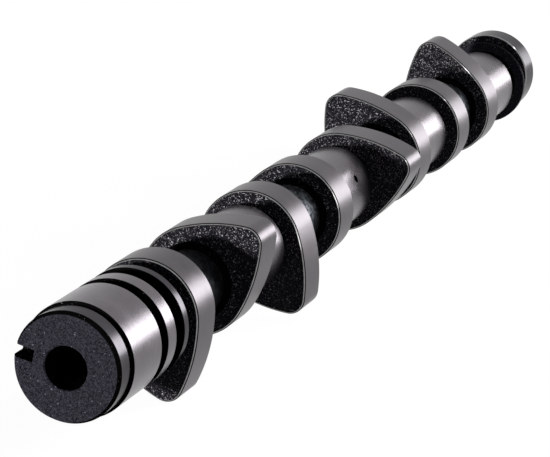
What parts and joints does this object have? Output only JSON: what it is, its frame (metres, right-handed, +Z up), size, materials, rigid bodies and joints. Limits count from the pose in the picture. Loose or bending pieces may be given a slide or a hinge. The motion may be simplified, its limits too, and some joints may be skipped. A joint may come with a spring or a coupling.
{
  "type": "camshaft",
  "caption": "Cast iron camshaft with ground cam lobes and bearing journals, a slotted collar at the near end and an eccentric at the far end.",
  "frame": {"origin": "centre of the near end face, where the bolt hole opens, on the shaft's axis", "axes": "+X along the shaft to the far end, +Z up as the shaft lies at rest on its lobes"},
  "size_m": [0.4002, 0.05, 0.05],
  "materials": {
    "cast_iron": "dark cast skin with satin ground journals and lobe rims"
  },
  "bodies": {
    "root": {"camshaft": "cast_iron"}
  },
  "joints": []
}
